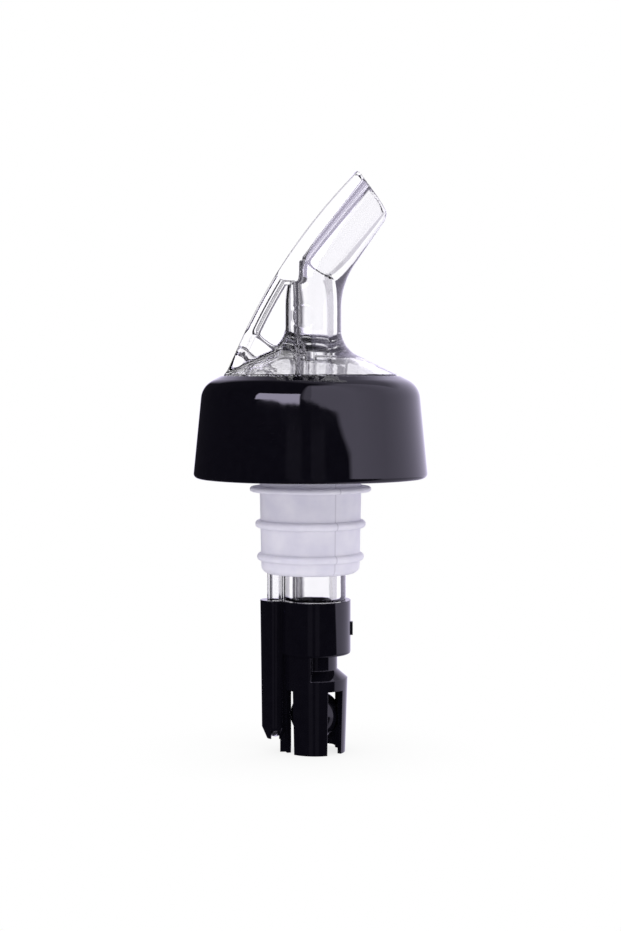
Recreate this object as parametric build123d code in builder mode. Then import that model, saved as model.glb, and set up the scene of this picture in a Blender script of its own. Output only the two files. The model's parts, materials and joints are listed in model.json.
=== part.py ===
from build123d import *

import os
from math import atan, cos, radians, sin, sqrt, tan

# Measured liquor pour spout: clear spout moulding, snap-on collar, ribbed cork, black timing cap, two balls.
#
# Frame: +Z up along the axis of the cork and collar, +X the way the spout pours.
# The origin is on that axis, in the plane where the cork flange rests on the bottle lip.
# All sizes are in millimetres.

os.makedirs("parts", exist_ok=True)

# --- driving dimensions -------------------------------------------------------------------

# tubes of the clear moulding
TUBE_X = 0.9  # axis of the liquid tube, ahead of the cork axis
TUBE_R = 5.9  # liquid tube inside the cork and the timing cap
BORE_R = 3.2  # its bore, below the disc
TUBE_END_Z = -30.4
TUBE_TOP_COVER = 0.5  # dome left above the top of the liquid tube
AIR_X = -6.8  # axis of the breather tube
AIR_R = 1.55
AIR_BORE_R = 0.8
AIR_END_Z = -33.5
TUBE_WEB = 1.2

# spout above the disc
NECK_X = 0.7
NECK_R = 5.2
NECK_BORE_R = 2.9
BEND_Z = 35.2  # height where the spout starts to lean forward
BEND_R = 20.2  # radius of its centre line
BEND_ANGLE = 35.5
TAPER_LENGTH = 14.3
TIP_R = 4.95
TIP_BORE_R = 3.4
MITRE_Z = 42.5  # where the axis of the tip's bore crosses the axis of the neck's
NECK_BORE_TOP_Z = 44.4  # inside the tip's bore
MOUTH_BACK = (9.25, 61.0)  # ends of the oblique mouth, in the X-Z plane
MOUTH_FRONT = (15.1, 52.9)
LIP_ROUND = 1.6
LIP_ROUND_SLACK = 1.3  # the lower lip is rounded to this many times LIP_ROUND
BORE_OVERRUN = 1.4  # the tip's bore is cut this many times its own length, out past the mouth

# fin up the back of the spout
FIN_FOOT = (-16.4, 22.0)
FIN_BEND = (-12.75, 30.0)  # below here the back edge is straight
FIN_TIP = (10.2, 62.45)  # just beyond the mouth
FIN_WEB = 2.6
FIN_FLANGE = 1.9  # depth of the thick strip along the back edge
WEB_BITE = 1.0  # how far the web runs up into the solid part
FIN_TRIM = 2.0  # the foot of the fin is trimmed to the dome's radius up to this far above the dome's edge
FIN_WIDTH = 9.0  # nearly as wide as the tube
FILL_START_Z = 40.3  # above here the fin is solid right up to the tube
FIN_BASE_WIDTH = 8.4
BASE_INSET = 0.3  # the base stands back from the strip
BASE_LENGTH = 11.0  # up the back edge
BASE_MIDDLE = (-8.7, 28.6)
BASE_END_Z = 26.9
BASE_BITE = 1.0  # how far its front end runs inside the neck
INLET_R = 1.0
INLET_OUTER = (-14.2, 27.8)
INLET_INNER = (-6.8, 21.6)

# domed disc that carries the collar
DOME_R = 16.6
DOME_EDGE_Z = 22.5
DOME_SLOPE = 26.0
DOME_WALL = 1.8
DOME_FILLET = 2.9
SKIRT_WALL = 1.3
RIM_R = 18.3
RIM_TOP_Z = 20.2
RIM_THICKNESS = 1.6
GUSSET = 1.4
GUSSET_R = 9.2
GUSSET_BITE = 0.2  # how far the gussets run up into the disc

# collar
COLLAR_R = 22.6
COLLAR_BOTTOM_Z = 2.6
COLLAR_SHOULDER = (20.85, 20.4)
COLLAR_TOP_Z = 22.4
COLLAR_OPENING_R = 16.85
COLLAR_WALL = 1.5
COLLAR_SHOULDER_FILLET = 4.2
COLLAR_EDGE = 0.9
RIM_GAP = 0.25
SNAP_BEAD = 0.5
SNAP_GAP = 0.1  # play between the rim and the bead below it
BEAD_RAMP = 2.4  # height of the slope that runs from the bead out to the wall

# cork
CORK_TOP_Z = 8.5
CORK_TOP_R = 9.8
CORK_BOTTOM_Z = -15.7
CORK_BOTTOM_R = 9.45
CORK_WALL = 1.1
CORK_FLOOR = 1.3
CORK_EDGE = 1.5
CORK_FLANGE_R = 11.7
CORK_FLANGE = 1.0
CORK_RIBS = ((-6.2, 10.65), (-12.5, 10.3))  # height and outer radius of each
CORK_RIB_BEAD = 0.75

# timing cap
CAP_TOP_Z = -20.9
CAP_SOCKET_R = 6.85
CAP_SOCKET_END_Z = -31.25
CAP_BOTTOM_Z = -50.2
BARREL_R = 6.25
SHOULDER_SLOPE = 0.86  # drop of the conical shoulder above the barrel, for each mm outwards
BARREL_END_R = 5.8
BARREL_BORE_R = 5.05
WAIST_R = 4.27
WAIST_END_Z = -34.2
WAIST_SPREAD = 98.0  # the waist is cut this far to each side of the front
SEAT_TOP_Z = -34.36
SLOT_TOP_Z = -38.0
LIP_R = 3.8
LIP_TOP_Z = -46.0
LIP_END_Z = -48.4
SLOT_ROOT_R = LIP_R - 0.5  # the slots start inside the lips
BRIDGE_TOP_Z = LIP_TOP_Z + 1.0  # bridge across the rear right slot
BRIDGE_END_Z = CAP_BOTTOM_Z + 0.5
SLOTS = (  # first and last angle, top and bottom of each opening
    (-66.5, -32.0, SLOT_TOP_Z, CAP_BOTTOM_Z),
    (-157.0, -134.0, SLOT_TOP_Z, CAP_BOTTOM_Z),
    (131.0, 157.0, SLOT_TOP_Z, CAP_BOTTOM_Z),
    (40.0, 66.5, SLOT_TOP_Z, BRIDGE_TOP_Z),
    (40.0, 66.5, BRIDGE_END_Z, CAP_BOTTOM_Z),
)
PLAIN_SPREAD = 36.0  # the finger beside the sleeve has no lip, this far to each side of the back
SLEEVE_R = 2.9
SLEEVE_BORE_R = 1.85
SLEEVE_FOOT_Z = -45.4
SLEEVE_FOOT_R = 2.6
SLEEVE_BOTTOM_Z = -47.7
SLEEVE_BOTTOM_R = 1.6
SLEEVE_LIP_R = 1.05
AIR_SEAT_TOP_Z = -45.9
AIR_SEAT_END_Z = -47.2
AIR_NOTCH = (1.5, 1.7)  # width and height
SLEEVE_JOIN = (2.6, 2.4)  # length and width of the block that joins the sleeve to the barrel
CAP_EDGE = 0.5
PIP = (0.4, 1.2, 2.6)  # locating pip on the front of the socket: how far it stands out, width, height
PIP_Z = -26.4

# balls
BALL_R = 9.525 / 2
AIR_BALL_R = 3.175 / 2
REST_GAP = 0.02  # daylight under a resting ball

# --- lines worked out from them -----------------------------------------------------------

tube_axis = Axis((TUBE_X, 0, 0), (0, 0, 1))
air_axis = Axis((AIR_X, 0, 0), (0, 0, 1))
bend_centre = (NECK_X + BEND_R, BEND_Z)
bend_end = (
    bend_centre[0] - BEND_R * cos(radians(BEND_ANGLE)),
    bend_centre[1] + BEND_R * sin(radians(BEND_ANGLE)),
)
lean = (sin(radians(BEND_ANGLE)), cos(radians(BEND_ANGLE)))
tip_length = TAPER_LENGTH + NECK_R
tip_end = (bend_end[0] + lean[0] * tip_length, bend_end[1] + lean[1] * tip_length)
tip_end_r = NECK_R - (NECK_R - TIP_R) * tip_length / TAPER_LENGTH
mouth_centre = ((MOUTH_BACK[0] + MOUTH_FRONT[0]) / 2, (MOUTH_BACK[1] + MOUTH_FRONT[1]) / 2)
mouth_along = Vector(MOUTH_FRONT[0] - MOUTH_BACK[0], 0, MOUTH_FRONT[1] - MOUTH_BACK[1]).normalized()
mouth_normal = Vector(-mouth_along.Z, 0, mouth_along.X)
bore_way = Vector(mouth_centre[0] - NECK_X, 0, mouth_centre[1] - MITRE_Z)
barrel_top_z = WAIST_END_Z - (BARREL_R - WAIST_R) * SHOULDER_SLOPE
dome_apex_z = DOME_EDGE_Z + DOME_R * tan(radians(DOME_SLOPE))


def dome_z(r):
    """Height of the top of the dome at radius r."""
    return dome_apex_z - r * tan(radians(DOME_SLOPE))


def back_edge(inset):
    """Back edge of the fin moved forward by inset: start, bend and end points, and the foot's direction."""
    foot, bend, tip = Vector(FIN_FOOT), Vector(FIN_BEND), Vector(FIN_TIP)
    straight = (bend - foot).normalized()
    forward = Vector(straight.Y, -straight.X)
    chord = tip - bend
    radius = chord.length**2 / (2 * chord.dot(forward))
    centre = bend + forward * radius
    end = centre + (tip - centre).normalized() * (radius - inset)
    return foot + forward * inset, bend + forward * inset, end, straight


def fin_side(inset, low_z, high_z):
    """Side view of the fin between two heights, from its back edge less inset to the tube's axis."""
    foot, bend, tip, straight = back_edge(inset)
    with BuildSketch(Plane.XZ) as side:
        with BuildLine():
            Line(foot, bend)
            TangentArc(bend, tip, tangent=straight)
            Polyline(tip, tip_end, bend_end, (NECK_X, BEND_Z), (NECK_X, RIM_TOP_Z), foot)
        make_face()
        with Locations((0, (low_z + high_z) / 2)):
            Rectangle(4 * DOME_R, high_z - low_z, mode=Mode.INTERSECT)
    return side.sketch


fin_web = fin_side(FIN_FLANGE / 2, RIM_TOP_Z, FILL_START_Z + WEB_BITE)
fin_solid = fin_side(0, FILL_START_Z, FIN_TIP[1])

# --- spout body: one clear moulding -------------------------------------------------------

with BuildPart() as spout_body:
    # domed disc with the rim that the collar snaps over
    under = DOME_WALL / cos(radians(DOME_SLOPE))
    rim_bottom_z = RIM_TOP_Z - RIM_THICKNESS
    skirt_r = DOME_R - SKIRT_WALL
    with BuildSketch(Plane.XZ):
        Polygon(
            (0, dome_z(0)),
            (DOME_R, DOME_EDGE_Z),
            (DOME_R, RIM_TOP_Z),
            (RIM_R, RIM_TOP_Z),
            (RIM_R, rim_bottom_z),
            (skirt_r, rim_bottom_z),
            (skirt_r, dome_z(skirt_r) - under),
            (0, dome_z(0) - under),
            align=None,
        )
    revolve(axis=Axis.Z)

    # straight neck above the dome, blended into it
    with BuildSketch(Plane.XY.offset(RIM_TOP_Z)):
        with Locations((NECK_X, 0)):
            Circle(NECK_R)
    extrude(amount=BEND_Z - RIM_TOP_Z)
    neck_root = (NECK_X + NECK_R, 0, dome_z(NECK_X + NECK_R))
    fillet(spout_body.edges().sort_by_distance(neck_root)[0], DOME_FILLET)

    # the bend, then the tapered tip
    bend_plane = Plane(origin=(bend_end[0], 0, bend_end[1]), x_dir=(0, 1, 0), z_dir=(lean[0], 0, lean[1]))
    with BuildLine(Plane.XZ) as bend_line:
        CenterArc(bend_centre, BEND_R, 180, -BEND_ANGLE)
    with BuildSketch(Plane.XY.offset(BEND_Z)):
        with Locations((NECK_X, 0)):
            Circle(NECK_R)
    sweep(path=bend_line.wire())
    with BuildSketch(bend_plane):
        Circle(NECK_R)
    with BuildSketch(bend_plane.offset(tip_length)):
        Circle(tip_end_r)
    loft()

    # fin: a thick strip along the back edge, joined to the neck by a web, and solid higher up
    foot, bend, tip, straight = back_edge(0)
    inner_foot, inner_bend, inner_tip, _ = back_edge(FIN_FLANGE)
    with BuildSketch(Plane.XZ):
        with BuildLine():
            Line(foot, bend)
            TangentArc(bend, tip, tangent=straight)
            Line(tip, inner_tip)
            TangentArc(inner_bend, inner_tip, tangent=straight)
            Line(inner_bend, inner_foot)
            Line(inner_foot, foot)
        make_face()
    extrude(amount=FIN_WIDTH / 2, both=True)
    extrude(fin_web, amount=FIN_WEB / 2, both=True)
    extrude(fin_solid, amount=FIN_WIDTH / 2, both=True)

    # broad base of the fin, solid round the air inlet
    base_foot, _, _, _ = back_edge(BASE_INSET)
    base_start = base_foot + straight * BASE_LENGTH
    base_end = (NECK_X - NECK_R + BASE_BITE, BASE_END_Z)
    with BuildSketch(Plane.XZ):
        with BuildLine():
            Line(base_foot, base_start)
            ThreePointArc(base_start, BASE_MIDDLE, base_end)
            Polyline(base_end, (NECK_X, BASE_END_Z), (NECK_X, RIM_TOP_Z), (base_foot.X, RIM_TOP_Z), base_foot)
        make_face()
    extrude(amount=FIN_BASE_WIDTH / 2, both=True)
    with BuildSketch(Plane.XY.offset(RIM_TOP_Z)):
        Circle(2 * DOME_R)
        Circle(DOME_R, mode=Mode.SUBTRACT)
    extrude(amount=DOME_EDGE_Z + FIN_TRIM - RIM_TOP_Z, mode=Mode.SUBTRACT)

    # liquid tube, breather tube and the web between them
    with BuildSketch(Plane.XY.offset(TUBE_END_Z)):
        with Locations((TUBE_X, 0)):
            Circle(TUBE_R)
    extrude(amount=dome_z(TUBE_X + TUBE_R) - TUBE_TOP_COVER - TUBE_END_Z)
    with BuildSketch(Plane.XY.offset(AIR_END_Z)):
        with Locations((AIR_X, 0)):
            Circle(AIR_R)
    extrude(amount=RIM_TOP_Z - AIR_END_Z)
    with BuildSketch(Plane.XY.offset(CAP_TOP_Z)):
        with Locations(((AIR_X + TUBE_X) / 2, 0)):
            Rectangle(TUBE_X - AIR_X, TUBE_WEB)
    extrude(amount=RIM_TOP_Z - CAP_TOP_Z)

    # gussets under the disc, which also stop the cork
    with BuildSketch(Plane.XY.offset(CORK_TOP_Z)):
        Rectangle(GUSSET, 2 * GUSSET_R)
        with Locations((GUSSET_R / 2, 0)):
            Rectangle(GUSSET_R, GUSSET)
    extrude(amount=dome_z(GUSSET_R) - under - CORK_TOP_Z + GUSSET_BITE)

    # liquid bore: slanting through the tip, then straight down the neck and the tube
    bore_plane = Plane(origin=(NECK_X, 0, MITRE_Z), x_dir=(0, 1, 0), z_dir=bore_way.normalized())
    with BuildSketch(bore_plane):
        Circle(TIP_BORE_R)
    extrude(amount=BORE_OVERRUN * bore_way.length, mode=Mode.SUBTRACT)
    with BuildSketch(Plane.XY.offset(RIM_TOP_Z)):
        with Locations((NECK_X, 0)):
            Circle(NECK_BORE_R)
    extrude(amount=NECK_BORE_TOP_Z - RIM_TOP_Z, mode=Mode.SUBTRACT)
    with BuildSketch(Plane.XY.offset(TUBE_END_Z)):
        with Locations((TUBE_X, 0)):
            Circle(BORE_R)
    extrude(amount=RIM_TOP_Z - TUBE_END_Z, mode=Mode.SUBTRACT)

    # breather bore and the air inlet slanting into it
    with BuildSketch(Plane.XY.offset(AIR_END_Z)):
        with Locations((AIR_X, 0)):
            Circle(AIR_BORE_R)
    extrude(amount=INLET_INNER[1] - AIR_END_Z, mode=Mode.SUBTRACT)
    inlet = Vector(INLET_OUTER[0] - INLET_INNER[0], 0, INLET_OUTER[1] - INLET_INNER[1])
    inlet_plane = Plane(origin=(INLET_INNER[0], 0, INLET_INNER[1]), x_dir=(0, 1, 0), z_dir=inlet.normalized())
    with BuildSketch(inlet_plane):
        Circle(INLET_R)
    extrude(amount=inlet.length + 2 * INLET_R, mode=Mode.SUBTRACT)

    # oblique mouth, with its lower lip rounded off
    mouth_plane = Plane(origin=(mouth_centre[0], 0, mouth_centre[1]), x_dir=(0, 1, 0), z_dir=mouth_normal)
    with BuildSketch(mouth_plane):
        Rectangle(4 * NECK_R, 4 * NECK_R)
    extrude(amount=4 * NECK_R, mode=Mode.SUBTRACT)
    lip, down = Vector(MOUTH_FRONT), Vector(-lean[0], -lean[1])
    up = (Vector(MOUTH_BACK) - lip).normalized()
    with BuildSketch(Plane.XZ):
        with BuildLine():
            RadiusArc(lip + up * LIP_ROUND, lip + down * LIP_ROUND, LIP_ROUND_SLACK * LIP_ROUND)
            Polyline(
                lip + down * LIP_ROUND,
                lip + down * LIP_ROUND - up,
                lip - up - down,
                lip + up * LIP_ROUND - down,
                lip + up * LIP_ROUND,
            )
        make_face()
    extrude(amount=NECK_R, both=True, mode=Mode.SUBTRACT)

spout_body.part.label = "spout_body"
export_step(spout_body.part, "parts/spout_body.step")

# --- collar -------------------------------------------------------------------------------

with BuildPart() as collar:
    rim_seat_r = RIM_R + RIM_GAP
    bead_top_z = rim_bottom_z - SNAP_GAP
    bead_r = RIM_R - SNAP_BEAD
    inner_shoulder_z = bead_top_z - BEAD_RAMP
    draft = (COLLAR_R - COLLAR_SHOULDER[0]) / (COLLAR_SHOULDER[1] - COLLAR_BOTTOM_Z)
    inner_shoulder_r = COLLAR_R - COLLAR_WALL - draft * (inner_shoulder_z - COLLAR_BOTTOM_Z)
    with BuildSketch(Plane.XZ) as collar_section:
        Polygon(
            (COLLAR_R - COLLAR_WALL, COLLAR_BOTTOM_Z),
            (COLLAR_R, COLLAR_BOTTOM_Z),
            COLLAR_SHOULDER,
            (COLLAR_OPENING_R, COLLAR_TOP_Z),
            (COLLAR_OPENING_R, RIM_TOP_Z),
            (rim_seat_r, RIM_TOP_Z),
            (rim_seat_r, bead_top_z),
            (bead_r, bead_top_z),
            (bead_r, bead_top_z - 2 * SNAP_BEAD),
            (inner_shoulder_r, inner_shoulder_z),
            align=None,
        )
        corners = collar_section.vertices()
        fillet(corners.sort_by_distance((*COLLAR_SHOULDER, 0))[0], COLLAR_SHOULDER_FILLET)
        fillet(collar_section.vertices().sort_by_distance((COLLAR_R, COLLAR_BOTTOM_Z, 0))[0], COLLAR_EDGE)
        top_corner = collar_section.vertices().sort_by_distance((COLLAR_OPENING_R, COLLAR_TOP_Z, 0))[0]
        fillet(top_corner, COLLAR_EDGE / 3)
    revolve(axis=Axis.Z)

collar.part.label = "collar"
export_step(collar.part, "parts/collar.step")

# --- cork: hollow ribbed sleeve, closed at the bottom except where the tubes pass ----------

with BuildPart() as cork:
    with BuildSketch(Plane.XZ) as cork_section:
        Polygon(
            (0, CORK_BOTTOM_Z),
            (CORK_BOTTOM_R, CORK_BOTTOM_Z),
            (CORK_TOP_R, CORK_FLANGE),
            (CORK_TOP_R, CORK_TOP_Z),
            (0, CORK_TOP_Z),
            align=None,
        )
        fillet(cork_section.vertices().sort_by_distance((CORK_BOTTOM_R, CORK_BOTTOM_Z, 0))[0], CORK_EDGE)
        with Locations((0, CORK_FLANGE / 2)):
            Rectangle(2 * CORK_FLANGE_R - CORK_FLANGE, CORK_FLANGE)
        with Locations((CORK_FLANGE_R - CORK_FLANGE / 2, CORK_FLANGE / 2)):
            Circle(CORK_FLANGE / 2)
        for z, r in CORK_RIBS:
            with Locations((r - CORK_RIB_BEAD, z)):
                Circle(CORK_RIB_BEAD)
        Rectangle(2 * CORK_FLANGE_R, 6 * CORK_FLANGE_R, align=(Align.MAX, Align.CENTER), mode=Mode.SUBTRACT)
    revolve(axis=Axis.Z)
    with BuildSketch(Plane.XZ) as cork_hollow:
        Polygon(
            (0, CORK_BOTTOM_Z + CORK_FLOOR),
            (CORK_BOTTOM_R - CORK_WALL, CORK_BOTTOM_Z + CORK_FLOOR),
            (CORK_TOP_R - CORK_WALL, CORK_FLANGE),
            (CORK_TOP_R - CORK_WALL, CORK_TOP_Z),
            (0, CORK_TOP_Z),
            align=None,
        )
        inner_corner = (CORK_BOTTOM_R - CORK_WALL, CORK_BOTTOM_Z + CORK_FLOOR, 0)
        fillet(cork_hollow.vertices().sort_by_distance(inner_corner)[0], CORK_EDGE / 2)
    revolve(axis=Axis.Z, mode=Mode.SUBTRACT)
    # grip round both tubes
    with BuildSketch(Plane.XY.offset(CORK_BOTTOM_Z)):
        with Locations((TUBE_X, 0)):
            Circle(TUBE_R)
        with Locations((AIR_X, 0)):
            Circle(AIR_R)
        with Locations(((AIR_X + TUBE_X) / 2, 0)):
            Rectangle(TUBE_X - AIR_X, TUBE_WEB)
    extrude(amount=CORK_FLOOR + CORK_EDGE, mode=Mode.SUBTRACT)

cork.part.label = "cork"
export_step(cork.part, "parts/cork.step")

# --- timing cap: socket, waist and slotted ball barrel, with the breather sleeve alongside --

with BuildPart() as timing_cap:
    # outside of the socket and barrel
    with BuildSketch(Plane((TUBE_X, 0, 0), x_dir=(1, 0, 0), z_dir=(0, -1, 0))) as cap_section:
        Polygon(
            (0, CAP_TOP_Z),
            (CAP_SOCKET_R, CAP_TOP_Z),
            (CAP_SOCKET_R, CAP_SOCKET_END_Z),
            (BARREL_R, CAP_SOCKET_END_Z),
            (BARREL_R, barrel_top_z),
            (BARREL_END_R, CAP_BOTTOM_Z),
            (0, CAP_BOTTOM_Z),
            align=None,
        )
        fillet(cap_section.vertices().sort_by_distance((CAP_SOCKET_R, CAP_SOCKET_END_Z, 0))[0], CAP_EDGE)
    revolve(axis=tube_axis)

    # waist cut round the front half, with a conical shoulder below it
    waist_plane = Plane((TUBE_X, 0, 0), x_dir=(1, 0, 0), z_dir=(0, -1, 0)).rotated((0, 0, -WAIST_SPREAD))
    with BuildSketch(waist_plane):
        Polygon(
            (WAIST_R, CAP_SOCKET_END_Z),
            (CAP_SOCKET_R, CAP_SOCKET_END_Z),
            (CAP_SOCKET_R, barrel_top_z),
            (BARREL_R, barrel_top_z),
            (WAIST_R, WAIST_END_Z),
            align=None,
        )
    revolve(axis=tube_axis, revolution_arc=2 * WAIST_SPREAD, mode=Mode.SUBTRACT)

    # breather sleeve, tapered at its foot
    with BuildSketch(Plane((AIR_X, 0, 0), x_dir=(1, 0, 0), z_dir=(0, -1, 0))):
        Polygon(
            (0, CAP_TOP_Z),
            (SLEEVE_R, CAP_TOP_Z),
            (SLEEVE_FOOT_R, SLEEVE_FOOT_Z),
            (SLEEVE_BOTTOM_R, SLEEVE_BOTTOM_Z),
            (0, SLEEVE_BOTTOM_Z),
            align=None,
        )
    revolve(axis=air_axis)
    with BuildSketch(Plane.XY.offset(CAP_BOTTOM_Z)):
        with Locations(((TUBE_X - BARREL_BORE_R + AIR_X + SLEEVE_BORE_R) / 2, 0)):
            Rectangle(SLEEVE_JOIN[0], SLEEVE_JOIN[1])
    extrude(amount=CAP_TOP_Z - CAP_BOTTOM_Z)

    # locating pip on the front of the socket
    with Locations((TUBE_X + CAP_SOCKET_R, 0, PIP_Z)):
        Box(2 * PIP[0], PIP[1], PIP[2])

    # socket for the liquid tube, port, ball seat, ball chamber and the lips that keep the ball in
    with BuildSketch(Plane((TUBE_X, 0, 0), x_dir=(1, 0, 0), z_dir=(0, -1, 0))):
        Polygon(
            (0, CAP_TOP_Z),
            (TUBE_R, CAP_TOP_Z),
            (TUBE_R, TUBE_END_Z),
            (BORE_R, TUBE_END_Z),
            (BORE_R, SEAT_TOP_Z),
            (BARREL_BORE_R, SEAT_TOP_Z - (BARREL_BORE_R - BORE_R)),
            (BARREL_BORE_R, LIP_TOP_Z + (BARREL_BORE_R - LIP_R)),
            (LIP_R, LIP_TOP_Z),
            (LIP_R, LIP_END_Z),
            (BARREL_BORE_R, LIP_END_Z - (BARREL_BORE_R - LIP_R) / 2),
            (BARREL_BORE_R, CAP_BOTTOM_Z),
            (0, CAP_BOTTOM_Z),
            align=None,
        )
    revolve(axis=tube_axis, mode=Mode.SUBTRACT)

    # the finger beside the sleeve is left without a lip
    with BuildSketch(waist_plane.rotated((0, 0, WAIST_SPREAD + 180 - PLAIN_SPREAD))):
        with Locations((0, LIP_TOP_Z + BARREL_BORE_R - LIP_R)):
            Rectangle(BARREL_BORE_R, BARREL_R, align=(Align.MIN, Align.MAX))
    revolve(axis=tube_axis, revolution_arc=2 * PLAIN_SPREAD, mode=Mode.SUBTRACT)

    # socket for the breather tube and the small ball's chamber
    with BuildSketch(Plane((AIR_X, 0, 0), x_dir=(1, 0, 0), z_dir=(0, -1, 0))):
        Polygon(
            (0, CAP_TOP_Z),
            (AIR_R, CAP_TOP_Z),
            (AIR_R, AIR_END_Z),
            (SLEEVE_BORE_R, AIR_END_Z),
            (SLEEVE_BORE_R, AIR_SEAT_TOP_Z),
            (SLEEVE_LIP_R, AIR_SEAT_END_Z),
            (SLEEVE_LIP_R, SLEEVE_BOTTOM_Z),
            (0, SLEEVE_BOTTOM_Z),
            align=None,
        )
    revolve(axis=air_axis, mode=Mode.SUBTRACT)
    for side in (-1, 1):
        with BuildSketch(Plane.XZ.offset(-side * SLEEVE_R)):
            with Locations((AIR_X, SLEEVE_BOTTOM_Z)):
                Rectangle(AIR_NOTCH[0], AIR_NOTCH[1], align=(Align.CENTER, Align.MIN))
        extrude(amount=side * SLEEVE_R, mode=Mode.SUBTRACT)

    # slots that let the liquid in past the ball
    for first, last, top_z, end_z in SLOTS:
        with BuildSketch(Plane.XY.offset(top_z)):
            with BuildLine():
                reach = 2 * BARREL_R
                corners = [(TUBE_X + reach * cos(radians(a)), reach * sin(radians(a))) for a in (first, last)]
                Polyline((TUBE_X, 0), *corners, close=True)
            make_face()
            with Locations((TUBE_X, 0)):
                Circle(SLOT_ROOT_R, mode=Mode.SUBTRACT)
        extrude(amount=end_z - top_z, mode=Mode.SUBTRACT)

timing_cap.part.label = "timing_cap"
export_step(timing_cap.part, "parts/timing_cap.step")

# --- balls --------------------------------------------------------------------------------

with BuildPart() as control_ball:
    ball_z = LIP_TOP_Z + sqrt(BALL_R**2 - LIP_R**2) + REST_GAP
    with Locations((TUBE_X, 0, ball_z)):
        Sphere(BALL_R)

control_ball.part.label = "control_ball"
export_step(control_ball.part, "parts/control_ball.step")

with BuildPart() as breather_ball:
    cone = atan((SLEEVE_BORE_R - SLEEVE_LIP_R) / (AIR_SEAT_TOP_Z - AIR_SEAT_END_Z))
    cone_apex_z = AIR_SEAT_END_Z - SLEEVE_LIP_R / tan(cone)
    air_ball_z = cone_apex_z + AIR_BALL_R / sin(cone) + REST_GAP
    with Locations((AIR_X, 0, air_ball_z)):
        Sphere(AIR_BALL_R)

breather_ball.part.label = "breather_ball"
export_step(breather_ball.part, "parts/breather_ball.step")
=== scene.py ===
"""Looks for the liquor pour spout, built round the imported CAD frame."""

import json
import math

import bpy
import numpy as np
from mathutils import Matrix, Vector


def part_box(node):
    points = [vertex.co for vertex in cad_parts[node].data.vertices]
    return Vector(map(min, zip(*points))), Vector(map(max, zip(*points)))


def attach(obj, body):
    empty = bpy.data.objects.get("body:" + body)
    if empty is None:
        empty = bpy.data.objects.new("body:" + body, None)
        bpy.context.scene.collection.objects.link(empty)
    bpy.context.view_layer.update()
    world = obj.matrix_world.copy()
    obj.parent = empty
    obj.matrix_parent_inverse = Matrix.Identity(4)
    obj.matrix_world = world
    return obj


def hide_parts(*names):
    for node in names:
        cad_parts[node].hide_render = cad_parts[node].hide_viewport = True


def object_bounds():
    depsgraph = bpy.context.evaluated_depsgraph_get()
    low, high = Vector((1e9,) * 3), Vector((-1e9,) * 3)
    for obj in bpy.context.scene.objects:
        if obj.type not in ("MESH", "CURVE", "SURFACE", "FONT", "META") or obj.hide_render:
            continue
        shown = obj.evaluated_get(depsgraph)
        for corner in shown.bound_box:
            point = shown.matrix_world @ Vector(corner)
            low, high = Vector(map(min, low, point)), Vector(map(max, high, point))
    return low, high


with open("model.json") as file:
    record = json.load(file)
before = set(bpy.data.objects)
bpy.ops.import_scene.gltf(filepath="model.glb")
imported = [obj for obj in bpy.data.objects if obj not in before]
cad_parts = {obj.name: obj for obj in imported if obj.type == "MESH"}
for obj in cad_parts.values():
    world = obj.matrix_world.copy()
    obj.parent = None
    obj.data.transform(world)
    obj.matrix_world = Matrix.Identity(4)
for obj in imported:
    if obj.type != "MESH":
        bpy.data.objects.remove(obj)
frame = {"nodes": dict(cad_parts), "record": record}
cad_low, cad_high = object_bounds()

MM = 0.001
GRID_STEP = 0.3  # mm between the points of the clear moulding's surface net
NET_BATCH = 400000  # points worked out at a time

# --- dimensions of the clear moulding, in mm, in the frame of the CAD nodes ------------------

spout_low, spout_high = (np.array(corner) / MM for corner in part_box("spout_body"))
TUBE_X, TUBE_R, BORE_R, TUBE_END_Z = 0.9, 5.9, 3.2, -30.4
AIR_X, AIR_R, AIR_BORE_R, AIR_END_Z = -6.8, 1.55, 0.8, spout_low[2]
TUBE_WEB, WEB_END_Z = 1.2, -20.9
NECK_X, NECK_R, NECK_BORE_R = 0.7, 5.2, 2.9
BEND_Z, BEND_R, BEND_ANGLE = 35.2, 20.2, math.radians(35.5)
TAPER_LENGTH, TIP_R, TIP_BORE_R = 14.3, 4.95, 3.4
MITRE, NECK_BORE_TOP_Z = np.array((NECK_X, 0, 42.5)), 44.4
MOUTH_BACK, MOUTH_FRONT = np.array((9.25, 0, 61.0)), np.array((15.1, 0, 52.9))
FIN_FOOT, FIN_BEND, FIN_TIP = map(np.array, ((-16.4, 22.0), (-12.75, 30.0), (10.2, 62.45)))
FIN_WEB, FIN_FLANGE, FIN_WIDTH, FIN_BASE_WIDTH = 2.6, 1.9, 9.0, 8.4
FILL_START_Z = 40.3
BASE_INSET, BASE_CIRCLE = 0.3, ((-11.4, 32.2), (-8.7, 28.6), (-3.5, 26.9))
INLET_R, INLET_OUTER, INLET_INNER = 1.0, np.array((-14.2, 0, 27.8)), np.array((-6.8, 0, 21.6))
DOME_R, DOME_EDGE_Z, DOME_SLOPE, DOME_WALL, DOME_FILLET = 16.6, 22.5, math.radians(26), 1.8, 2.9
RIM_R, RIM_TOP_Z, RIM_THICKNESS, SKIRT_WALL = spout_high[0], 20.2, 1.6, 1.3
GUSSET, GUSSET_R, GUSSET_END_Z = 1.4, 9.2, 8.5
MARK = (-1.2, 33.7, 2.25)  # round ejector mark on the side of the neck: x, z, radius
MARK_DEPTH, MARK_LINE = 0.05, 0.22  # how deep and how wide its faint ring is

# --- rounding of the moulding's corners and edges, in mm ---------------------------------------

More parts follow.
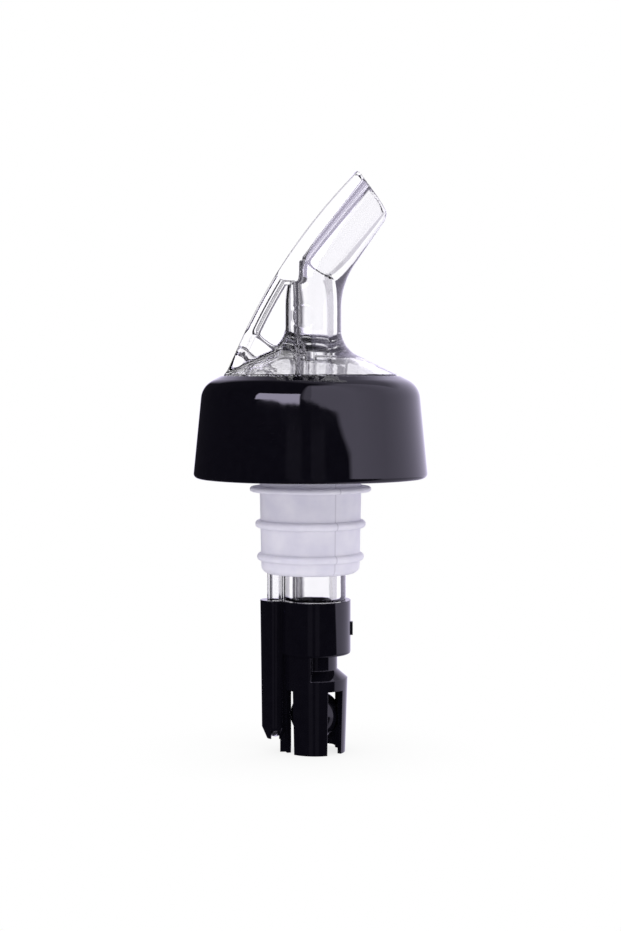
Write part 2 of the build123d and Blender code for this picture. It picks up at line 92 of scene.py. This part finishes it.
TUBE_FILLET, AIR_FILLET, PLATE_FILLET, GUSSET_FILLET = 0.8, 0.5, 0.3, 0.4
FIN_FILLET, WEB_FILLET, BASE_FILLET = 0.7, 0.8, 0.5
FLANGE_EDGE, SOLID_EDGE, FILL_EDGE, BASE_EDGE = 0.9, 1.0, 0.5, 0.6
TUBE_EDGE, AIR_EDGE, GUSSET_EDGE = 0.2, 0.15, 0.15
TIP_BORE_EDGE, NECK_BORE_EDGE, BORE_EDGE = 0.8, 0.3, 0.1
BORE_RIM, AIR_RIM, INLET_RIM = 0.12, 0.1, 0.15
MOUTH_EDGE, MOUTH_LIP = 0.2, 1.2  # rounding at the back of the mouth, and what its lower lip adds

PARTING_ANGLE = math.radians(-61)  # where the faint mould line runs down the cork
BEVEL_SAMPLES = 6


# --- distance fields: each takes points (n, 3) and gives signed distances, negative inside ---


def fillet_union(a, b, radius):
    """Both shapes, with the inner corner between them rounded out."""
    u, v = np.maximum(radius - a, 0), np.maximum(radius - b, 0)
    return np.maximum(radius, np.minimum(a, b)) - np.sqrt(u * u + v * v)


def round_meet(a, b, radius):
    """Where both shapes overlap, with the edge rounded over."""
    u, v = np.maximum(radius + a, 0), np.maximum(radius + b, 0)
    return np.minimum(-radius, np.maximum(a, b)) + np.sqrt(u * u + v * v)


def cone(points, start, end, start_r, end_r):
    """Endless cone or cylinder through two circles, and the distance along it."""
    axis = np.array(end, float) - start
    length = np.linalg.norm(axis)
    axis /= length
    along = (points - start) @ axis
    across = np.linalg.norm(points - start - along[:, None] * axis, axis=1)
    slope = (end_r - start_r) / length
    return (across - start_r - slope * along) / math.hypot(1, slope), along, length


def rod(points, start, end, radius, edge=BORE_EDGE):
    """Cylinder with flat ends."""
    side, along, length = cone(points, np.array(start, float), end, radius, radius)
    return round_meet(side, np.maximum(-along, along - length), edge)


def block(points, low, high, edge=0.1):
    """Box with rounded edges."""
    low, high = np.array(low, float), np.array(high, float)
    q = np.abs(points - (low + high) / 2) - (high - low) / 2 + edge
    return np.linalg.norm(np.maximum(q, 0), axis=1) + np.minimum(q.max(axis=1), 0) - edge


def polygon(u, v, corners):
    """Signed distance to a closed outline."""
    best = np.full(len(u), np.inf)
    inside = np.zeros(len(u), bool)
    for (au, av), (bu, bv) in zip(corners, corners[1:] + corners[:1]):
        eu, ev = bu - au, bv - av
        t = np.clip(((u - au) * eu + (v - av) * ev) / (eu * eu + ev * ev), 0, 1)
        best = np.minimum(best, (u - au - t * eu) ** 2 + (v - av - t * ev) ** 2)
        if ev:
            inside ^= ((av > v) != (bv > v)) & (u < au + (v - av) * eu / ev)
    return np.where(inside, -1, 1) * np.sqrt(best)


def circle_through(a, b, c):
    """Centre and radius of the circle through three points."""
    (ax, ay), (bx, by), (cx, cy) = a, b, c
    d = 2 * (ax * (by - cy) + bx * (cy - ay) + cx * (ay - by))
    a2, b2, c2 = ax * ax + ay * ay, bx * bx + by * by, cx * cx + cy * cy
    x = (a2 * (by - cy) + b2 * (cy - ay) + c2 * (ay - by)) / d
    y = (a2 * (cx - bx) + b2 * (ax - cx) + c2 * (bx - ax)) / d
    return x, y, math.hypot(ax - x, ay - y)


def dome_z(r):
    """Height of the dome's top face at a distance r from the axis."""
    return DOME_EDGE_Z + (DOME_R - r) * math.tan(DOME_SLOPE)


def disc(points):
    """Domed disc with its skirt and the rim that the collar snaps over."""
    r, z = np.hypot(points[:, 0], points[:, 1]), points[:, 2]
    under = DOME_WALL / math.cos(DOME_SLOPE)
    skirt_r, rim_end_z = DOME_R - SKIRT_WALL, RIM_TOP_Z - RIM_THICKNESS
    outline = [
        (-DOME_R, dome_z(-DOME_R)),
        (DOME_R, DOME_EDGE_Z),
        (DOME_R, RIM_TOP_Z),
        (RIM_R, RIM_TOP_Z),
        (RIM_R, rim_end_z),
        (skirt_r, rim_end_z),
        (skirt_r, dome_z(skirt_r) - under),
        (-DOME_R, dome_z(-DOME_R) - under),
    ]
    return polygon(r, z, outline)


def upper_spout(points):
    """Neck, bend and tip with the fin up their back."""
    x, y, z = points.T
    # distance back from the centre line of the tube, and the tube's radius there
    centre = np.array((NECK_X + BEND_R, 0, BEND_Z))
    lean = np.array((math.sin(BEND_ANGLE), 0, math.cos(BEND_ANGLE)))
    backward = np.array((-math.cos(BEND_ANGLE), 0, math.sin(BEND_ANGLE)))
    end = centre + BEND_R * backward
    up_tip = (points - end) @ lean
    bend_back = np.hypot(x - centre[0], z - centre[2]) - BEND_R
    back = np.where(z <= BEND_Z, NECK_X - x, np.where(up_tip < 0, bend_back, (points - end) @ backward))
    on_tip = (z > BEND_Z) & (up_tip > 0)
    radius = NECK_R - np.where(on_tip, (NECK_R - TIP_R) * up_tip / TAPER_LENGTH, 0)
    tube = np.hypot(back, y) - radius
    # distance beyond the back edge of the fin: a straight foot, then an arc
    straight = (FIN_BEND - FIN_FOOT) / np.linalg.norm(FIN_BEND - FIN_FOOT)
    forward = np.array((straight[1], -straight[0]))
    chord = FIN_TIP - FIN_BEND
    edge_r = chord @ chord / (2 * chord @ forward)
    edge_x, edge_z = FIN_BEND + forward * edge_r
    flat = -((x - FIN_FOOT[0]) * forward[0] + (z - FIN_FOOT[1]) * forward[1])
    upper = (x - FIN_BEND[0]) * straight[0] + (z - FIN_BEND[1]) * straight[1] > 0
    beyond = np.where(upper, np.hypot(x - edge_x, z - edge_z) - edge_r, flat)
    # a strip along the edge with a web inside it, solid higher up
    half = FIN_WIDTH / 2
    strip = round_meet(np.abs(beyond + FIN_FLANGE / 2) - FIN_FLANGE / 2, np.abs(y) - half, FLANGE_EDGE)
    strip = np.maximum(strip, z - FILL_START_Z - 1)
    solid = np.maximum(round_meet(beyond, np.abs(y) - half, SOLID_EDGE), -back)
    strip = np.minimum(strip, round_meet(solid, FILL_START_Z - z, FILL_EDGE))
    web = np.maximum(np.maximum(beyond + FIN_FLANGE / 2, np.abs(y) - FIN_WEB / 2), x - NECK_X)
    web = np.maximum(web, z - FILL_START_Z - 1)
    inner_x, inner_z, inner_r = circle_through(*BASE_CIRCLE)
    pocket = inner_r - np.hypot(x - inner_x, z - inner_z)
    base = np.maximum(beyond + BASE_INSET, pocket)
    base = np.maximum(base, np.maximum(x - NECK_X, z - BASE_CIRCLE[0][1]))
    base = round_meet(base, np.abs(y) - FIN_BASE_WIDTH / 2, BASE_EDGE)
    fin = fillet_union(fillet_union(strip, web, WEB_FILLET), base, BASE_FILLET)
    trim = np.where(z < DOME_EDGE_Z + 2, np.hypot(x, y) - DOME_R, -1)
    return np.maximum(tube, RIM_TOP_Z - z), np.maximum(fin, np.maximum(RIM_TOP_Z + 1 - z, trim))


def spout(points):
    """The whole clear moulding."""
    tube, fin = upper_spout(points)
    body = fillet_union(disc(points), tube, DOME_FILLET)
    body = fillet_union(body, fin, FIN_FILLET)
    tube_top = (TUBE_X, 0, dome_z(TUBE_X + TUBE_R) - 0.5)
    tube = rod(points, (TUBE_X, 0, TUBE_END_Z), tube_top, TUBE_R, TUBE_EDGE)
    body = fillet_union(body, tube, TUBE_FILLET)
    air = rod(points, (AIR_X, 0, AIR_END_Z), (AIR_X, 0, RIM_TOP_Z + 0.8), AIR_R, AIR_EDGE)
    body = fillet_union(body, air, AIR_FILLET)
    half_web = TUBE_WEB / 2
    plate = block(points, (AIR_X, -half_web, WEB_END_Z), (TUBE_X, half_web, RIM_TOP_Z))
    body = fillet_union(body, plate, PLATE_FILLET)
    half, top = GUSSET / 2, dome_z(GUSSET_R)
    for low, high in (
        ((-half, -GUSSET_R, GUSSET_END_Z), (half, GUSSET_R, top - 1)),
        ((0, -half, GUSSET_END_Z), (GUSSET_R, half, top - 1)),
    ):
        body = fillet_union(body, block(points, low, high, GUSSET_EDGE), GUSSET_FILLET)
    # bores, the slanting air inlet and the ejector mark
    mouth = (MOUTH_BACK + MOUTH_FRONT) / 2
    beyond_mouth = MITRE + 1.4 * (mouth - MITRE)
    slanting = rod(points, MITRE, beyond_mouth, TIP_BORE_R, TIP_BORE_EDGE)
    neck_top = (NECK_X, 0, NECK_BORE_TOP_Z)
    straight = rod(points, (NECK_X, 0, RIM_TOP_Z), neck_top, NECK_BORE_R, NECK_BORE_EDGE)
    body = round_meet(body, -np.minimum(slanting, straight), BORE_RIM)
    inlet_start = INLET_INNER + 1.3 * (INLET_OUTER - INLET_INNER)
    for cut, edge in (
        (rod(points, (TUBE_X, 0, TUBE_END_Z - 3), (TUBE_X, 0, RIM_TOP_Z), BORE_R), BORE_RIM),
        (rod(points, (AIR_X, 0, AIR_END_Z - 3), (AIR_X, 0, INLET_INNER[2]), AIR_BORE_R), AIR_RIM),
        (rod(points, INLET_INNER, inlet_start, INLET_R), INLET_RIM),
    ):
        body = round_meet(body, -cut, edge)
    mark_x, mark_z, mark_r = MARK
    ring = np.hypot(points[:, 0] - mark_x, points[:, 2] - mark_z) - mark_r
    body = body + np.where(points[:, 1] < 0, MARK_DEPTH, 0) * np.exp(-((ring / MARK_LINE) ** 2))
    # oblique mouth with a rounded lower lip
    across = (MOUTH_FRONT - MOUTH_BACK) / np.linalg.norm(MOUTH_FRONT - MOUTH_BACK)
    outward = np.array((-across[2], 0, across[0]))
    forward = np.clip((points - mouth) @ across / np.linalg.norm(MOUTH_FRONT - mouth), 0, 1)
    return round_meet(body, (points - mouth) @ outward, MOUTH_EDGE + MOUTH_LIP * forward**3)


# --- surface net ----------------------------------------------------------------------------


def steepest(field, points, reach=0.01):
    """Distance to the surface and the unit direction away from it."""
    gradient = np.stack([field(points + reach * e) - field(points - reach * e) for e in np.eye(3)], 1)
    gradient /= 2 * reach
    size = np.maximum(np.linalg.norm(gradient, axis=1), 1e-6)
    return field(points) / size, gradient / size[:, None]


def surface_net(field, low, high, step):
    """Quads over the zero surface of field: points moved onto it, faces, and exact normals."""
    coarse = 4
    blocks = np.ceil((high - low) / step / coarse).astype(int) + 1
    n = blocks * coarse
    corners = np.stack(np.meshgrid(*map(np.arange, blocks), indexing="ij"), -1).reshape(-1, 3)
    value = field(low + (corners * coarse + (coarse - 1) / 2) * step)
    near = np.abs(value) < 2 * coarse * step
    grid = value.reshape(blocks)
    for axis in range(3):
        grid = np.repeat(grid, coarse, axis)
    offsets = np.stack(np.meshgrid(*[np.arange(coarse)] * 3, indexing="ij"), -1).reshape(-1, 3)
    cells = (corners[near][:, None, :] * coarse + offsets[None]).reshape(-1, 3)
    for part in np.array_split(cells, max(1, len(cells) // NET_BATCH)):
        grid[tuple(part.T)] = field(low + part * step)
    cube = np.stack(np.meshgrid([0, 1], [0, 1], [0, 1], indexing="ij"), -1).reshape(-1, 3)
    inside = grid < 0
    total = sum(
        inside[a : n[0] - 1 + a, b : n[1] - 1 + b, c : n[2] - 1 + c].astype(np.int8) for a, b, c in cube
    )
    active = np.argwhere((total > 0) & (total < 8))
    index = np.full(n, -1, np.int64)
    index[tuple(active.T)] = np.arange(len(active))
    values = np.stack([grid[tuple((active + c).T)] for c in cube], 1)
    where, count = np.zeros((len(active), 3)), np.zeros(len(active))
    for i in range(8):
        for j in range(i + 1, 8):
            if np.abs(cube[i] - cube[j]).sum() != 1:
                continue
            crossing = (values[:, i] < 0) != (values[:, j] < 0)
            gap = values[:, i] - values[:, j]
            t = np.where(crossing, values[:, i] / np.where(gap == 0, 1, gap), 0)
            where += np.where(crossing[:, None], cube[i] + t[:, None] * (cube[j] - cube[i]), 0)
            count += crossing
    points = low + (active + where / count[:, None]) * step
    one = np.eye(3, dtype=int)
    quads = []
    for axis in range(3):
        u, v = one[(axis + 1) % 3], one[(axis + 2) % 3]
        changed = np.argwhere(inside != np.roll(inside, -1, axis))
        changed = changed[(changed[:, axis] < n[axis] - 1) & (changed @ u > 0) & (changed @ v > 0)]
        around = (changed - u - v, changed - v, changed, changed - u)
        quad = np.stack([index[tuple(corner.T)] for corner in around], 1)
        flip = ~inside[tuple(changed.T)]
        quad[flip] = quad[flip][:, ::-1]
        quads.append(quad)
    for _ in range(3):
        distance, normal = steepest(field, points)
        points = points - normal * np.clip(distance, -step / 2, step / 2)[:, None]
    return points, np.concatenate(quads), steepest(field, points)[1]


def mesh_object(name, points, faces, normals=None):
    """Mesh object from points in mm; faces all have the same number of corners."""
    mesh = bpy.data.meshes.new(name)
    sides = faces.shape[1]
    mesh.vertices.add(len(points))
    mesh.vertices.foreach_set("co", (points * MM).astype(np.float32).ravel())
    mesh.loops.add(faces.size)
    mesh.loops.foreach_set("vertex_index", faces.astype(np.int32).ravel())
    mesh.polygons.add(len(faces))
    mesh.polygons.foreach_set("loop_start", np.arange(0, faces.size, sides, dtype=np.int32))
    mesh.polygons.foreach_set("use_smooth", np.ones(len(faces), bool))
    mesh.update(calc_edges=True)
    if normals is not None:
        mesh.normals_split_custom_set_from_vertices(normals.astype(np.float32))
    made = bpy.data.objects.new(name, mesh)
    bpy.context.scene.collection.objects.link(made)
    return made


margin = 3 * GRID_STEP
net = surface_net(spout, spout_low - margin, spout_high + margin, GRID_STEP)
spout_mesh = mesh_object("spout_clear", *net)
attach(spout_mesh, "pourer")
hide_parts("spout_body")


# --- node helpers -------------------------------------------------------------------------


def new_material(name):
    """An empty node material and its node tree."""
    material = bpy.data.materials.new(name)
    material.use_nodes = True
    tree = material.node_tree
    tree.nodes.clear()
    return material, tree


def add(tree, kind, **inputs):
    """Adds a node and sets or links the inputs that are given, with _ for spaces."""
    node = tree.nodes.new(kind)
    for name, value in inputs.items():
        put(tree, node.inputs[name.replace("_", " ")], value)
    return node


def put(tree, socket, value):
    """Links value to the socket if it is a socket too, else sets it."""
    if isinstance(value, bpy.types.NodeSocket):
        tree.links.new(value, socket)
    elif isinstance(value, tuple) and len(value) == 3 and socket.type == "RGBA":
        socket.default_value = (*value, 1)
    else:
        socket.default_value = value


def maths(tree, operation, *values):
    """One math node and its output."""
    node = tree.nodes.new("ShaderNodeMath")
    node.operation = operation
    for socket, value in zip(node.inputs, values):
        put(tree, socket, value)
    return node.outputs[0]


def product(tree, *values):
    """All the values multiplied."""
    result = values[0]
    for value in values[1:]:
        result = maths(tree, "MULTIPLY", result, value)
    return result


def total_of(tree, *values):
    """All the values added."""
    result = values[0]
    for value in values[1:]:
        result = maths(tree, "ADD", result, value)
    return result


def remap(tree, value, from_low, from_high, to_low=0.0, to_high=1.0):
    """Straight remap of value, kept inside the second range."""
    node = add(tree, "ShaderNodeMapRange", Value=value)
    node.inputs["From Min"].default_value = from_low
    node.inputs["From Max"].default_value = from_high
    node.inputs["To Min"].default_value = to_low
    node.inputs["To Max"].default_value = to_high
    return node.outputs[0]


def noise(tree, where, scale, detail=3.0, stretch=None):
    """Noise value at where, squeezed along the axes by stretch."""
    if stretch:
        mapping = add(tree, "ShaderNodeMapping", Vector=where, Scale=stretch)
        where = mapping.outputs[0]
    return add(tree, "ShaderNodeTexNoise", Vector=where, Scale=scale, Detail=detail).outputs["Fac"]


def mix_shader(tree, factor, a, b):
    """Shader a where the factor is 0 and b where it is 1."""
    node = tree.nodes.new("ShaderNodeMixShader")
    for socket, value in zip(node.inputs, (factor, a.outputs[0], b.outputs[0])):
        put(tree, socket, value)
    return node


def mix_colour(tree, factor, a, b):
    """Colour a where the factor is 0 and b where it is 1."""
    node = tree.nodes.new("ShaderNodeMix")
    node.data_type = "RGBA"
    put(tree, node.inputs[0], factor)
    put(tree, node.inputs[6], a)
    put(tree, node.inputs[7], b)
    return node.outputs[2]


# --- materials ----------------------------------------------------------------------------


def clear_plastic():
    """Clear styrene moulding: polished, with faint flow ripples and hairline handling marks."""
    material, tree = new_material("clear_plastic")
    where = tree.nodes.new("ShaderNodeTexCoord").outputs["Object"]
    ripple = noise(tree, where, 260, 2)
    hairline = noise(tree, where, 900, 4, (1, 1, 0.08))
    height = total_of(tree, ripple, product(tree, hairline, 0.04))
    bump = add(tree, "ShaderNodeBump", Strength=0.16, Distance=0.0003, Height=height)
    roughness = remap(tree, hairline, 0.45, 0.75, 0.015, 0.045)
    tint = mix_colour(tree, noise(tree, where, 120, 1), (1.0, 1.0, 1.0), (0.98, 0.978, 0.99))
    bsdf = add(
        tree, "ShaderNodeBsdfPrincipled",
        Base_Color=tint, IOR=1.57, Roughness=roughness, Transmission_Weight=1.0, Normal=bump.outputs[0],
    )
    see_through = add(tree, "ShaderNodeBsdfTransparent", Color=(0.86, 0.85, 0.88))
    path = tree.nodes.new("ShaderNodeLightPath")
    mixed = mix_shader(tree, path.outputs["Is Shadow Ray"], bsdf, see_through)
    # painted glow: past nine bounces the plastic gives off a soft emission in place of the light that has
    # bounced many times inside
    glow = add(tree, "ShaderNodeEmission", Color=(0.9, 0.88, 1.0), Strength=0.35)
    many = maths(tree, "GREATER_THAN", path.outputs["Ray Depth"], 9.5)
    final = mix_shader(tree, many, mixed, glow)
    add(tree, "ShaderNodeOutputMaterial", Surface=final.outputs[0])
    return material


def black_plastic(name="black_plastic", polish=0.012, edge=0.00022):
    """Gloss black moulding: softened edges, slight sink ripples, fine wipe marks in the gloss."""
    material, tree = new_material(name)
    where = tree.nodes.new("ShaderNodeTexCoord").outputs["Object"]
    bevel = tree.nodes.new("ShaderNodeBevel")
    bevel.samples = BEVEL_SAMPLES
    bevel.inputs["Radius"].default_value = edge
    ripple = noise(tree, where, 90, 2)
    grain = noise(tree, where, 5200, 3)
    height = total_of(tree, ripple, product(tree, grain, 0.02))
    bump = add(
        tree, "ShaderNodeBump",
        Strength=0.015, Distance=0.0004, Height=height, Normal=bevel.outputs[0],
    )
    wipe = noise(tree, where, 320, 5, (1, 1, 0.15))
    roughness = remap(tree, wipe, 0.35, 0.75, polish, polish + 0.02)
    colour = mix_colour(tree, noise(tree, where, 700, 4), (0.0012, 0.001, 0.0022), (0.003, 0.0028, 0.0048))
    bsdf = add(
        tree, "ShaderNodeBsdfPrincipled",
        Base_Color=colour, IOR=1.5, Roughness=roughness, Normal=bump.outputs[0],
    )
    add(tree, "ShaderNodeOutputMaterial", Surface=bsdf.outputs[0])
    return material


def white_polyethylene():
    """Milky, slightly waxy polyethylene: light soaks through its thin wall."""
    material, tree = new_material("white_polyethylene")
    where = tree.nodes.new("ShaderNodeTexCoord").outputs["Object"]
    bevel = tree.nodes.new("ShaderNodeBevel")
    bevel.samples = BEVEL_SAMPLES
    bevel.inputs["Radius"].default_value = 0.0003
    cloud = noise(tree, where, 240, 4)
    grain = noise(tree, where, 2600, 3)
    height = total_of(tree, product(tree, cloud, 0.6), product(tree, grain, 0.05))
    bump = add(tree, "ShaderNodeBump", Strength=0.3, Distance=0.0003, Height=height, Normal=bevel.outputs[0])
    colour = mix_colour(tree, remap(tree, cloud, 0.3, 0.7), (0.80, 0.79, 0.88), (0.90, 0.89, 0.95))
    x, y, _ = add(tree, "ShaderNodeSeparateXYZ", Vector=where).outputs
    round_axis = maths(tree, "ARCTAN2", y, x)
    off_line = maths(tree, "ABSOLUTE", maths(tree, "SUBTRACT", round_axis, PARTING_ANGLE))
    parting = remap(tree, off_line, 0.004, 0.02, 0.4, 0.0)
    colour = mix_colour(tree, parting, colour, (0.45, 0.43, 0.5))
    bsdf = add(
        tree, "ShaderNodeBsdfPrincipled",
        Base_Color=colour, IOR=1.5, Roughness=remap(tree, grain, 0.3, 0.7, 0.3, 0.45), Normal=bump.outputs[0],
    )
    soak = add(tree, "ShaderNodeBsdfTranslucent", Color=colour, Normal=bump.outputs[0])
    mixed = mix_shader(tree, 0.45, bsdf, soak)
    add(tree, "ShaderNodeOutputMaterial", Surface=mixed.outputs[0])
    return material


def polished_steel():
    """Ground steel ball with faint random lapping marks."""
    material, tree = new_material("polished_steel")
    where = tree.nodes.new("ShaderNodeTexCoord").outputs["Object"]
    marks = noise(tree, where, 4000, 5)
    bump = add(tree, "ShaderNodeBump", Strength=0.05, Distance=0.0001, Height=marks)
    bsdf = add(
        tree, "ShaderNodeBsdfPrincipled",
        Base_Color=mix_colour(tree, marks, (0.66, 0.67, 0.70), (0.80, 0.80, 0.82)),
        Metallic=1.0, Roughness=remap(tree, marks, 0.3, 0.7, 0.06, 0.16), Normal=bump.outputs[0],
    )
    add(tree, "ShaderNodeOutputMaterial", Surface=bsdf.outputs[0])
    return material


finishes = {
    "clear_plastic": clear_plastic(),
    "black_plastic": black_plastic(),
    "white_polyethylene": white_polyethylene(),
    "black_ball": black_plastic("black_ball", 0.1, 0.0),
    "polished_steel": polished_steel(),
}
for entry in frame["record"]["subparts"]:
    node = frame["nodes"][entry["node"]]
    node.data.materials.clear()
    node.data.materials.append(finishes[entry["material_slot"]])
    node.data.polygons.foreach_set("use_smooth", np.ones(len(node.data.polygons), bool))
spout_mesh.data.materials.append(finishes["clear_plastic"])


# --- studio -------------------------------------------------------------------------------


# strengths of the mirrored studio, and of what is seen through the clear plastic
ROOM, SWEEP, SMALL_BOX, STREAKS = 0.022, 1.35, 7.4, 0.09
BEHIND, BACKDROP = 0.11, 1.05

FLOOR_REACH = 0.9  # m from the middle of the floor to its edges
CAMERA_PLACE, CAMERA_TILT = (0, -0.356, 0.0224), math.radians(1.4)  # m, and radians below level
LENS, SENSOR_WIDTH, LENS_SHIFT = 71.5, 36, -0.0486


def band(tree, value, low, high, soft):
    """1 between low and high degrees, falling to 0 over soft degrees outside them."""
    return product(tree, remap(tree, value, low - soft, low), remap(tree, value, high, high + soft, 1.0, 0.0))


def mirrored_studio(tree, turn, rise):
    """What the gloss mirrors: the sweep, a lit wall on the right, the small box, two faint streaks.

    turn and rise are the mirrored direction in degrees, to the right and up.
    """
    low_down = remap(tree, rise, -15, -8, 0.55, 1.0)
    # the sweep's left edge softens and its top fades as it rises
    above = remap(tree, turn, -20, 60, 0.2, 0.52)
    fade = maths(tree, "MAXIMUM", above, remap(tree, rise, 30, 55, 1.0, 0.0))
    reach = remap(tree, rise, 12, 28, 5, 20)
    sweep = remap(tree, maths(tree, "DIVIDE", total_of(tree, turn, 8), reach), -1, 0)
    right_end = remap(tree, turn, 100, 106, 1.0, 0.0)
    sweep = product(tree, sweep, right_end, band(tree, rise, -70, 75, 15), fade, low_down)
    # the wall's far edge leans left as it rises
    round_back = total_of(tree, turn, product(tree, maths(tree, "LESS_THAN", turn, -90), 360))
    lean = total_of(tree, remap(tree, rise, 7.0, 8.3, 0.0, 12), remap(tree, rise, 8.3, 9.2, 0.0, 36))
    lean = total_of(tree, lean, remap(tree, rise, -9, 0, -35, 0.0))
    wall = remap(tree, maths(tree, "SUBTRACT", round_back, lean), 138, 143, 1.0, 0.0)
    wall = product(tree, wall, remap(tree, round_back, 59, 60), band(tree, rise, -50, 75, 10))
    wall = product(tree, wall, low_down, remap(tree, turn, 95, 132, 1.3, 1.8))
    tilted = maths(tree, "SUBTRACT", rise, remap(tree, turn, -168, -121, 0.39, 0.0))
    small_box = product(tree, band(tree, turn, -168, -121, 1.5), band(tree, tilted, 8.52, 33, 0.08))
    streaks = total_of(tree, band(tree, turn, -169, -158, 4), band(tree, turn, 168, 178, 4))
    streaks = product(tree, streaks, band(tree, rise, -50, 7.9, 0.7))
    level = maths(tree, "MAXIMUM", total_of(tree, product(tree, sweep, SWEEP), ROOM), wall)
    return total_of(tree, level, product(tree, small_box, SMALL_BOX), product(tree, streaks, STREAKS))


def seen_through(tree, turn, rise):
    """What shows through the clear plastic: white behind, dark to the left and overhead."""
    right_side = product(tree, band(tree, turn, 30, 115, 14), 0.55)
    level = maths(tree, "MAXIMUM", band(tree, turn, -15, 30, 12), right_side)
    level = total_of(tree, level, product(tree, band(tree, turn, -150, -100, 20), 0.3))
    level = product(tree, level, band(tree, rise, -65, 65, 20))
    return total_of(tree, product(tree, level, BACKDROP), BEHIND)


def studio_world():
    """White sweep behind and to the right, a small soft box up on the left, dark room otherwise.

    It turns with the camera, so every side of the object is lit the same way.
    """
    world = bpy.data.worlds.new("studio")
    bpy.context.scene.world = world
    world.use_nodes = True
    tree = world.node_tree
    tree.nodes.clear()
    direction = tree.nodes.new("ShaderNodeTexCoord").outputs["Camera"]
    right, up, forward = add(tree, "ShaderNodeSeparateXYZ", Vector=direction).outputs
    degrees = 180 / math.pi
    turn = product(tree, maths(tree, "ARCTAN2", right, forward), degrees)
    rise = product(tree, maths(tree, "ARCSINE", up), degrees)
    level = mirrored_studio(tree, turn, rise)
    through = seen_through(tree, turn, rise)
    # a ray that leaves the clear plastic counts as glossy too, so it is taken out of the mirrored ones
    path = tree.nodes.new("ShaderNodeLightPath")
    refracted = path.outputs["Is Transmission Ray"]
    not_refracted = maths(tree, "SUBTRACT", 1.0, refracted)
    mirrored = product(tree, path.outputs["Is Glossy Ray"], not_refracted)
    clear_tint = mix_colour(tree, through, (0.86, 0.80, 1.0), (0.98, 0.97, 1.0))
    tint = mix_colour(tree, mirrored, clear_tint, (0.82, 0.76, 1.0))
    chosen = tree.nodes.new("ShaderNodeMix")
    for socket, value in zip((0, 2, 3), (mirrored, through, level)):
        put(tree, chosen.inputs[socket], value)
    structured = add(tree, "ShaderNodeBackground", Color=tint, Strength=chosen.outputs[0])
    plain = add(tree, "ShaderNodeBackground", Color=(0.98, 0.965, 1.0), Strength=1.45)
    white = add(tree, "ShaderNodeBackground", Color=(1, 1, 1), Strength=1.0)
    lit = mix_shader(tree, maths(tree, "MAXIMUM", mirrored, refracted), plain, structured)
    shown = mix_shader(tree, path.outputs["Is Camera Ray"], lit, white)
    add(tree, "ShaderNodeOutputWorld", Surface=shown.outputs[0])


def floor():
    """Pale floor under the object, white apart from the soft shade round the foot."""
    reach, z = FLOOR_REACH, cad_low.z
    corners = np.array([(-reach, -reach), (reach, -reach), (reach, reach), (-reach, reach)])
    points = np.column_stack([corners, np.full(4, z)]) / MM
    plane = mesh_object("floor", points, np.array([[0, 1, 2, 3]]))
    material, tree = new_material("pale_floor")
    shade = add(tree, "ShaderNodeAmbientOcclusion", Distance=0.03)
    shade.samples = 8
    tone = remap(tree, shade.outputs["AO"], 0.0, 1.0, 0.80, 1.0)
    glow = add(tree, "ShaderNodeEmission", Color=(1, 1, 1), Strength=tone)
    clear = tree.nodes.new("ShaderNodeBsdfTransparent")
    path = tree.nodes.new("ShaderNodeLightPath")
    backfacing = tree.nodes.new("ShaderNodeNewGeometry").outputs["Backfacing"]
    seen = product(tree, path.outputs["Is Camera Ray"], maths(tree, "SUBTRACT", 1.0, backfacing))
    mixed = mix_shader(tree, seen, clear, glow)
    add(tree, "ShaderNodeOutputMaterial", Surface=mixed.outputs[0])
    plane.data.materials.append(material)


studio_world()
floor()

camera_data = bpy.data.cameras.new("camera")
camera = bpy.data.objects.new("camera", camera_data)
bpy.context.scene.collection.objects.link(camera)
bpy.context.scene.camera = camera
camera_data.lens = LENS
camera_data.sensor_width = SENSOR_WIDTH
camera_data.shift_y = LENS_SHIFT
camera_data.clip_start = 0.01
camera.location = CAMERA_PLACE
camera.rotation_euler = (math.pi / 2 - CAMERA_TILT, 0, 0)

bpy.context.scene.view_settings.view_transform = "Standard"
